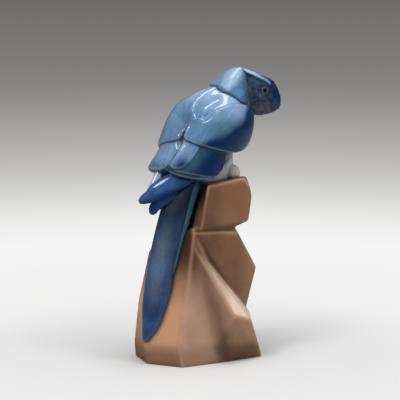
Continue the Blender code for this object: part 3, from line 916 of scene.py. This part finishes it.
def build_body(parts, others):
    skin = Surface("parrot_body", parts, BODY_CELL, BODY_SMOOTH)
    skin.split(parts)
    on = skin.on
    u, angle = torso_place(skin.points)
    edge_and_glint, pool_and_shade = skin.relief()
    # Border on the right wing past which it takes painted shade, on the side turned from the light.
    border = 60 + 0.5 * np.clip(u, -30, 16) - 0.8 * np.clip(-12 - u, 0, 20)
    side = ramp(angle - border, -11, 8)
    wing, flight = on("right_wing"), on("right_flight")
    left_wing, covert, left_covert = on("left_wing"), on("right_covert"), on("left_covert")
    # Pale also paints sheen up the back and a lit patch on the right shoulder; deep also paints shade
    # on the wing's turned side.
    blues = {
        "pale": 0.72 * ramp(u, -8, 34) + 0.25 * (on("spine_covert") + covert)
        + 0.1 * wing * (1 - side) + 0.3 * left_wing + 0.55 * left_covert
        + 0.6 * wing * bell(angle - 48, 15) * bell(u - 26, 10) + 0.3 * covert * ramp(-angle, -18, -6),
        "teal": 0.7 * wing * bell(angle - 50, 14) * bell(u + 6, 18)
        + 0.75 * flight + 0.35 * left_wing * ramp(-u, -10, 30),
        "violet": 0.3 * left_covert + 0.4 * covert * ramp(-u, 34, 52)
        + 0.4 * wing * ramp(u, 2, 26) + 0.35 * left_wing * ramp(angle, -40, -5),
        "deep": wing * np.clip(1.1 * side, 0, 1) + flight * (0.62 + 0.38 * ramp(angle, 42, 66))
        + 0.9 * on("under_covert") * ramp(-u, 50, 62) + 0.35 * left_covert * ramp(-u, 48, 62)
        + 0.75 * covert * ramp(-u, 42, 54) * ramp(angle, 10, 26),
        "slate": 0.6 * on("torso") * ramp(-u, 20, 30) + 0.12 * left_wing * ramp(-angle, 10, 60),
    }
    low = 1 - ramp(skin.points[:, 2], PERCH + 26, PERCH + 34)
    bare = on("belly") + on("torso") * ramp(np.abs(angle), 116, 126) * low
    bone = np.clip(0.6 * bare + sum(on(f"toe_{k}") for k in range(4)), 0, 1)
    masks = skin.blank() | {name: values * (1 - bone) for name, values in blues.items()}
    masks["bone"] = bone
    ground = np.column_stack([u, angle * 0.6])
    # Painted shadow: dark under the coverts, in the notch where the wings meet and under the right
    # wing.
    sink = on("torso") * ramp(-u, 61.5, 63.5) * ramp(45 - angle, 0, 8) * ramp(angle, -55, -45)
    nook = bell(side_of(ground, [(-25.5, -1), (-29, -1)]), 1.2)
    under = (on("torso") + flight + on("belly")) * ramp(angle, 80, 86) * ramp(-angle, -122, -112)
    under = under * ramp(u, -33, -28) * ramp(-u, 10, 12)
    masks["ink_and_shade"] = np.clip(0.95 * sink + 0.9 * nook + 0.9 * under, 0, 1)
    # Painted shade along the plates' borders and where other pieces touch, painted highlights just
    # inside the borders.
    seam, rim = plate_seams(u, angle, skin)
    pool_and_shade = np.clip(0.6 * pool_and_shade + 0.95 * seam + 0.9 * closeness(skin.points, others, 1.6), 0, 1)
    edge_and_glint = np.clip(0.25 * edge_and_glint + 0.28 * rim, 0, 1)
    across = np.radians(angle) * TORSO_RADIUS / 2.2
    return skin.paint(masks, 6, edge_and_glint, 0.9 * pool_and_shade, across=across, along=u / 18)


# Painted lines of the head, as forward and up
BROW_LINE = [(-6, 29), (-1, 25), (2, 22.5), (9, 19.5), (16, 16), (24, 12.5), (29, 9.5), (33, 6.5)]
BEAK_LINE = [
    (33, 9), (34.5, 2.5), (35.3, -4.5), (34.5, -9), (32.5, -13), (33.5, -17), (40, -21), (48, -24),
]
CHEEK_LINE = [
    (-1, 26), (-1, 16.5), (-0.5, 9), (0.3, 1.5), (1.5, -5), (3.5, -12.5), (6.5, -18), (9, -26),
]
CROWN_LINE = [(-3, 26), (-10, 21), (-18, 14), (-26, 8)]
CREST_LINE = [(-3, 27.5), (-11, 23), (-18.5, 17), (-22, 10), (-24, 4)]
FACE_FOLDS = [
    [(9, -11), (11, -15), (12, -19)],
    [(13, -12), (14, -15.5), (17, -17)],
    [(16, -19), (22, -21), (30, -20)],
]


def build_head(parts, others):
    skin = Surface("parrot_head", parts, HEAD_CELL, HEAD_SMOOTH)
    forward, near, up = head_place(skin.points)
    sheet = np.column_stack([forward, up])
    edge_and_glint, pool_and_shade = skin.relief()
    brow, beak, cheek = (side_of(sheet, line) for line in (BROW_LINE, BEAK_LINE, CHEEK_LINE))
    crown, crest = (side_of(sheet, line) for line in (CROWN_LINE, CREST_LINE))
    flank = ramp(np.abs(near), 3.5, 6.5)
    ahead = ramp(cheek, -0.6, 0.8)
    nose = ramp(beak, -0.6, 0.6) * ramp(forward, 30, 33)
    face = ahead * ramp(-brow, -0.3, 0.7) * (1 - nose) * ramp(np.abs(near), 3, 6)
    hood = 1 - ahead
    brim = ahead * (1 - face)
    ring = np.hypot(forward - EYE_PLACE[0], up - EYE_PLACE[2])
    # Pale paints a sheen along the crown, over the top of the hood and on the back of the brow.
    pale = 0.95 * bell(crown, 4.5) * hood + 0.25 * hood * ramp(up, 8, 20)
    masks = skin.blank() | {
        "pale": (pale + 0.9 * brim * ramp(-forward, -26, -6)) * ramp(up, -12, 4),
        "violet": 0.55 * hood * ramp(forward, -14, -4) * ramp(-up, -22, -4)
        + 0.4 * face * bell(forward - 12, 6) * bell(up - 1, 7)
        + 0.35 * face * bell(forward - 20, 5) * bell(up + 16, 4),
        "slate": 0.9 * face + 0.6 * hood * ramp(forward, -9, -1),
        "teal": nose,
        "deep": 0.72 * nose + 0.6 * brim * ramp(forward, 16, 28),
        "plum": face * (0.6 * ramp(-up, 9, 19) + 0.3 * ramp(forward, 14, 24) * ramp(up, -2, 10)),
        "ink_and_shade": ramp(-ring, -3.0, -2.3) * flank,
    }
    for line in FACE_FOLDS:
        masks["ink_and_shade"] = np.maximum(masks["ink_and_shade"], 0.5 * bell(side_of(sheet, line), 0.8) * flank * face)
    # Painted shade under the brow's overhang and where the head meets the body, with dark painted
    # lines along the beak and round the eye.
    rim = bell(brow + 0.6, 1.0) * ramp(forward, -3, 0)
    rim = np.maximum(rim, bell(beak + 0.7, 1.1) * ramp(-up, -12, -9))
    rim = np.maximum(rim, 0.25 * bell(ring - 4.4, 0.9)) * flank
    pool_and_shade = np.clip(0.7 * pool_and_shade + 0.9 * rim + 0.9 * closeness(skin.points, others, 1.0), 0, 1)
    glint = 0.12 * bell(ring - 3.4, 0.7)
    glint = glint + 0.8 * bell(brow - 2.2, 0.9) * ramp(forward, -4, 0) * ramp(-forward, -34, -30)
    glint = glint + 0.85 * bell(crest, 1.4) * hood * ramp(up, 0, 9)
    edge_and_glint = np.clip(0.45 * edge_and_glint + glint * flank, 0, 1)
    grain = {"across": near / 1.3, "along": forward / 14}
    return skin.paint(masks, 5, edge_and_glint, pool_and_shade, mottled=face, **grain)


def build_tips(parts, others):
    skin = Surface("wing_tips", parts, TIP_CELL, FEATHER_SMOOTH)
    skin.split(parts)
    x, z = skin.points[:, 0], skin.points[:, 2]
    right, second, left = skin.on("right_tip"), skin.on("right_second"), skin.on("left_tip")
    edge_and_glint, pool_and_shade = skin.relief()
    # Faces turned down, and the roots in the cavity under the coverts, take painted shade.
    lower = ramp(-skin.normals[:, 2], -0.3, 0.35)
    root = ramp(x - TORSO_CENTRE.x, -40, -24)
    # Pale paints a reflection over the left tip, and the glint a highlight on it.
    masks = skin.blank() | {
        "pale": left,
        "teal": 0.6 * second,
        "violet": 0.9 * right,
        "deep": np.clip(right * np.maximum(0.9 * lower, 0.6 * root) + 0.92 * second, 0, 1),
    }
    glint = left * bell(z - TORSO_CENTRE.z + 50, 9) * ramp(-skin.normals[:, 1], 0.3, 0.7)
    edge_and_glint = np.clip(edge_and_glint + 0.9 * glint, 0, 1)
    # Painted shade where the tips touch the wings.
    pool_and_shade = np.clip(pool_and_shade + 0.8 * closeness(skin.points, others, 1.8), 0, 1)
    grain = {"across": (z - 0.6 * x) / 1.3, "along": x / 14}
    return skin.paint(masks, 6, 0.45 * edge_and_glint, 0.85 * pool_and_shade, **grain)


def build_tail(parts, others):
    skin = Surface("tail_feathers", parts, TAIL_CELL, FEATHER_SMOOTH)
    skin.split(parts)
    edge_and_glint, pool_and_shade = skin.relief()
    share = (skin.points[:, 2] - TAIL_TIP) / (TAIL_ROOT - TAIL_TIP)
    rows = np.array(TAIL_ROWS["tail"])
    left, right = (np.interp(share, rows[:, 0], rows[:, k]) for k in (1, 2))
    across = (skin.points[:, 0] - left) / (right - left)
    first = skin.on("tail")
    middle = bell(across - 0.48, 0.26)
    # A painted grey sheen down the middle of the lower tail.
    grey_sheen = first * middle * ramp(share, 0.15, 0.4) * (1 - ramp(share, 0.62, 0.86))
    second = 1 - first
    deep = 0.82 * first * (1 - ramp(share, 0.2, 0.5) * middle) + 0.15 * second
    # Pale paints a highlight along the right edge; ink paints the wings' shadow over the tail's top.
    masks = skin.blank() | {
        "pale": 0.28 * first * ramp(across, 0.78, 0.96),
        "teal": 0.7 * second + 0.5 * first * ramp(share, 0.5, 1.0),
        "violet": 0.55 * first * ramp(-share, -0.26, -0.08) + 0.3 * grey_sheen
        + 0.4 * first * ramp(-across, -0.22, -0.06),
        "slate": 0.6 * first * ramp(share, 0.5, 0.9) + 0.55 * grey_sheen,
        "deep": deep * (1 - 0.25 * ramp(-share, -0.22, -0.06)),
        "bone": 0.09 * grey_sheen,
        "ink_and_shade": 0.75 * first * ramp(share, 0.62, 0.9) + 0.6 * second * ramp(share, 0.72, 0.98),
    }
    # Painted shade where the tips and body touch.
    pool_and_shade = np.clip(pool_and_shade + 0.8 * closeness(skin.points, others, 1.6), 0, 1)
    grain = {"across": across * 30 / 1.3, "along": skin.points[:, 2] / 16}
    matt = ramp(share, 0.8, 0.95)
    return skin.paint(masks, 6, 0.45 * edge_and_glint, 0.85 * pool_and_shade, ink_and_shade_rounds=6, matt=matt, **grain)


# Painted lines of the rock: painted highlights along the thin ridges, painted shadow down the soft
# valley, a dark groove of pooled glaze and painted shade under the perch block, and a pale strip under
# it.
RIDGE_LINES = [
    [(-4.5, -32.5, WAIST), (-12, -37, 76), (-21.8, -41.5, BAND), (-16.5, -42.3, 0)],
    [(-3, -34, WAIST - 19), (18, -34, 90), (39, -34, LEDGE)],
    [(39, -34, LEDGE), (57, -15, LEDGE - 8)],
    [(10, -28, PERCH - 3), (2.5, -31, WAIST + 2)],
    [(10, -28, PERCH - 3), (49, -13, PERCH + 4), (55, -10, PERCH - 6)],
    [(-3, -33.5, WAIST - 2), (42, -8.5, WAIST - 4)],
    [(-48, -13.5, SHOULDER), (-58.5, -25, BAND)],
]
VALLEY_LINE = [(1, -34, WAIST - 24), (9, -34, 82), (22, -31, 50), (27, -28, 24), (28, -24, 2)]
GROOVE_LINE = [(-3, -32.5, WAIST), (40, -7.5, WAIST - 2)]
STRIP_LINE = [(4, -31, WAIST - 3), (40, -10, WAIST - 5)]


def build_rock(parts, others):
    skin = Surface("rock", parts, ROCK_CELL, ROCK_SMOOTH)
    skin.split(parts)
    x, y, z = skin.points.T
    fine, wide = skin.bulging(10), skin.bulging(60)
    trunk, outcrop, bulge, block = (skin.on(name) for name in skin.names[:4])
    # Faces turned to the left lamp get painted light, faces turned up a painted sheen, faces turned
    # down painted shade.
    front = ramp(-skin.normals[:, 1], 0.2, 0.5)
    left = ramp(-skin.normals[:, 0], 0.22, 0.38)
    right = ramp(skin.normals[:, 0], 0.1, 0.4)
    up = ramp(skin.normals[:, 2], 0.2, 0.45)
    down = ramp(-skin.normals[:, 2], 0.1, 0.5)
    flat_front = trunk * front * (1 - left)
    # Painted shadow under the tail.
    under_tail = ramp(z, LEDGE, WAIST - 12) * ramp(-x, -4, 6) * (1 - block)
    crest = sum(bell(off_line(skin.points, line)[0], 1.5) for line in RIDGE_LINES)
    valley = bell(off_line(skin.points, VALLEY_LINE)[0], 9.0)
    groove = bell(off_line(skin.points, GROOVE_LINE)[0], 1.3)
    strip = bell(off_line(skin.points, STRIP_LINE)[0], 1.6)
    # Painted shadow in the hollow left of the perch block and behind the tail.
    corner = 10 - (PERCH - 3 - z) * 7.5 / 46
    hollow = ramp(corner - x, -0.4, 1.0) * ramp(z, WAIST + 1, WAIST + 7)
    hollow *= ramp(x, -30, -14) * ramp(-y, -16, -6)
    hollow *= 0.62 + 0.38 * ramp(z, PERCH - 34, PERCH - 14)
    ridge = -4.5 - (WAIST - z) * 7.5 / 70
    behind_tail = ramp(ridge - x, 0.5, 5.0) * ramp(z, 88, 132) * ramp(-z, -150, -145)
    behind_tail *= ramp(x, -40, -26)
    # Painted shade on the bulge, the block's left and the foot.
    painted_shade = 0.35 * ramp(z, BULGE + 6, WAIST - 14) * ramp(-x, -40, -18)
    painted_shade = bulge * (0.38 + painted_shade) + block * (0.1 + 0.45 * ramp(-x, -30, -15))
    low = 1 - ramp(z, 6, BAND + 6)
    painted_shade += 0.6 * low * (ramp(-x, 14, 24) + 0.5 * ramp(x, 25, 42))
    slope = outcrop * up * right * (0.35 + 0.55 * ramp(x, 24, 44))
    foot = 1 - ramp(z, BAND - 11, BAND + 5)
    # Grey also paints a reflection on the bulge's right; light paints lamp light; pale paints sheen;
    # shade paints shade.
    masks = {
        "band": foot * (0.74 + 0.1 * ramp(x, -22, 6)),
        "grey": 0.75 * (flat_front + outcrop * (1 - up))
        + 0.65 * bulge * ramp(x, 40, 58) + 0.5 * strip,
        "light": left * front * trunk * (1 - under_tail),
        "pale": np.clip(slope + 0.25 * up + 0.5 * strip, 0, 1)
        + 0.12 * flat_front * ramp(-z, -125, -100) + 0.3 * left * (1 - front) * ramp(z, 20, 60),
        "shade": np.clip(0.66 * valley + 0.95 * under_tail + painted_shade + 0.5 * down, 0, 1),
    }
    # Edges lighter with painted highlights along the ridges; painted shade under the block, in the
    # hollow, behind the tail and where tail and toes touch.
    edge_and_glint = 0.8 * (0.55 * ramp(fine, 0.10, 0.5) + 0.2 * ramp(wide, 0.3, 1.6)) + 0.42 * crest
    close = closeness(skin.points, others, 3.0)
    pool_and_shade = 0.2 * ramp(-fine, 0.08, 0.5) + 0.75 * close + 0.7 * groove + hollow + 0.75 * behind_tail
    return skin.paint(masks, 12, np.clip(edge_and_glint, 0, 1) * (1 - hollow), np.clip(pool_and_shade, 0, 1))


# Studio sweep: how far a line of sight falls per metre, and the grey seen there
SWEEP_TONES = [
    (-0.012, 0.150), (0.017, 0.185), (0.045, 0.228), (0.060, 0.280), (0.074, 0.345),
    (0.0885, 0.42), (0.103, 0.50), (0.1175, 0.60), (0.132, 0.73), (0.147, 0.85), (0.161, 0.915),
    (0.176, 0.90), (0.22, 0.84), (0.30, 0.77),
]
ROOM_TONE = (0.21, 0.213, 0.22)
DARK_TONE = (0.02, 0.02, 0.02)
FLOOR_RADIUS = 12.0
FLOOR_TONE = (0.78, 0.78, 0.78)

# Height and distance of the onlooker's eye, which set how the sweep's tones spread over the floor
SIGHT_HEIGHT = 0.371
SIGHT_DISTANCE = 1.487

# Lamps: place, width, height, power and colour
LAMPS = {
    "key": ((-0.75, -0.95, 1.25), 0.5, 0.5, 13.5, (1.0, 0.99, 0.97)),
    "top": ((0.1, -0.1, 1.5), 0.7, 0.5, 10.0, (1.0, 1.0, 1.0)),
    "right": ((1.15, -0.75, 0.85), 0.6, 0.7, 8.0, (0.95, 0.98, 1.0)),
}
LAMP_TARGET = Vector((0, 0, 0.16))

# Camera
LENS = 125.0
CAMERA_TILT = math.radians(7.5)
CAMERA_DISTANCE = 1.5
CAMERA_TARGET = Vector((0.0016, 0.0, 0.1751))


def backdrop_tone(g, drop):
    """Grey of the studio sweep for how far a line of sight falls per metre."""
    low, high = SWEEP_TONES[0][0], SWEEP_TONES[-1][0]
    place = g.add("MapRange", Value=drop, From_Min=low, From_Max=high)
    tones = g.add("ValToRGB", Fac=place.outputs["Result"])
    stops = tones.color_ramp.elements
    while len(stops) < len(SWEEP_TONES):
        stops.new(0.5)
    for stop, (value, tone) in zip(stops, SWEEP_TONES):
        stop.position = (value - low) / (high - low)
        warm = 1 + 0.02 * (1 - tone)
        stop.color = (tone * warm, tone, tone / warm, 1)
    return tones.outputs["Color"]


def seen(g, depth):
    """Two shares for each ray: how much of the sweep it sees, and how much a reflection is darkened.

    A ray that comes straight or through glass sees all of the sweep and is never darkened. A
    reflection sees none of the near half of the room, which is dark, and a faint far half.
    """
    rays = g.add("LightPath").outputs
    behind = g.spread(depth, -0.35, 0.25)
    glossy = rays["Is Glossy Ray"]
    straight = g.combine("MAXIMUM", rays["Is Camera Ray"], rays["Is Transmission Ray"])
    share = g.combine("MAXIMUM", straight, g.times(glossy, g.times(behind, 0.3)))
    return share, g.times(glossy, g.rest(g.times(behind, 0.45)))


def backdrop():
    """The studio sweep as it is seen, and a plain room tone for the light that it casts."""
    world = bpy.data.worlds.new("studio")
    world.use_nodes = True
    bpy.context.scene.world = world
    g = Graph(world.node_tree)
    split = g.add("SeparateXYZ", Vector=g.add("TexCoord").outputs["Generated"]).outputs
    share, dark = seen(g, split["Y"])
    tone = g.mixed(share, ROOM_TONE, backdrop_tone(g, g.times(split["Z"], -1.0)))
    g.put(g.nodes["Background"].inputs["Color"], g.mixed(dark, tone, DARK_TONE))


def floor():
    """The floor, lit near the figurine and blending into the sweep's tone farther off."""
    round_sheet = dict(cap_ends=True, segments=96, radius=FLOOR_RADIUS)
    obj = shaped("floor", lambda work: bmesh.ops.create_circle(work, **round_sheet))
    mat, g, shader = material("floor")
    g.put(shader.inputs["Base Color"], FLOOR_TONE)
    g.put(shader.inputs["Roughness"], 0.6)
    split = g.add("SeparateXYZ", Vector=g.place()).outputs
    far = g.add("VectorMath")
    far.operation = "LENGTH"
    g.put(far.inputs[0], g.add("CombineXYZ", X=split["X"], Y=split["Y"]).outputs[0])
    away = far.outputs["Value"]
    drop = g.combine("DIVIDE", SIGHT_HEIGHT, g.plus(away, SIGHT_DISTANCE))
    glow = g.add("Emission", Color=backdrop_tone(g, drop))
    unlit = g.add("Emission", Strength=0.0)
    share, dark = seen(g, split["Y"])
    surface = shader
    amounts = g.times(g.spread(away, 0.06, 0.34), share), g.times(dark, 0.85)
    for amount, over in zip(amounts, (glow, unlit)):
        blend = g.add("MixShader", Fac=amount)
        g.put(blend.inputs[1], surface.outputs[0])
        g.put(blend.inputs[2], over.outputs[0])
        surface = blend
    g.put(g.nodes["Material Output"].inputs["Surface"], surface.outputs[0])
    obj.data.materials.append(mat)


def lamps():
    """Three soft lamps. Reflections leave out the right one, which would veil the dark blues."""
    for name, (spot, width, height, power, colour) in LAMPS.items():
        lamp = bpy.data.lights.new(name, "AREA")
        lamp.shape = "RECTANGLE"
        lamp.size = width
        lamp.size_y = height
        lamp.energy = power
        lamp.color = colour
        obj = add_object(name, lamp)
        obj.location = spot
        obj.rotation_euler = (LAMP_TARGET - Vector(spot)).to_track_quat("-Z", "Y").to_euler()
        obj.visible_glossy = name != "right"


def camera():
    """The photograph's view of the bird's back, from slightly above."""
    lens = bpy.data.cameras.new("camera")
    lens.lens = LENS
    lens.sensor_width = 36.0
    lens.clip_end = 40.0
    obj = add_object("camera", lens)
    away = Vector((0, -math.cos(CAMERA_TILT), math.sin(CAMERA_TILT)))
    obj.location = CAMERA_TARGET + CAMERA_DISTANCE * away
    obj.rotation_euler = (math.pi / 2 - CAMERA_TILT, 0, 0)
    bpy.context.scene.camera = obj


def main():
    rock_parts = [hull(name, corners) for name, corners in ROCK_CHUNKS.items()]
    plates = [plate(name, rows) for name, rows in PLATES.items()]
    body_parts = [torso()] + plates + legs()
    tip_parts = [blade(name, rows) for name, rows in TIP_ROWS.items()]
    tail_parts = tail_feathers()
    head_parts = head()
    hood, wings, toes = head_parts[:1], body_parts[:8], body_parts[-5:]
    glaze = feather_glaze()
    finish(build_body(body_parts, hood + tip_parts + tail_parts + rock_parts[3:]), glaze)
    finish(build_head(head_parts, body_parts[:2]), glaze)
    finish(build_tips(tip_parts, wings), glaze)
    finish(build_tail(tail_parts, tip_parts + wings), glaze)
    finish(build_rock(rock_parts, tail_parts + toes), rock_glaze())
    for part in rock_parts + body_parts + tip_parts + tail_parts + head_parts:
        bpy.data.objects.remove(part)
    bpy.context.scene.view_settings.view_transform = "Standard"
    backdrop()
    floor()
    lamps()
    camera()


main()
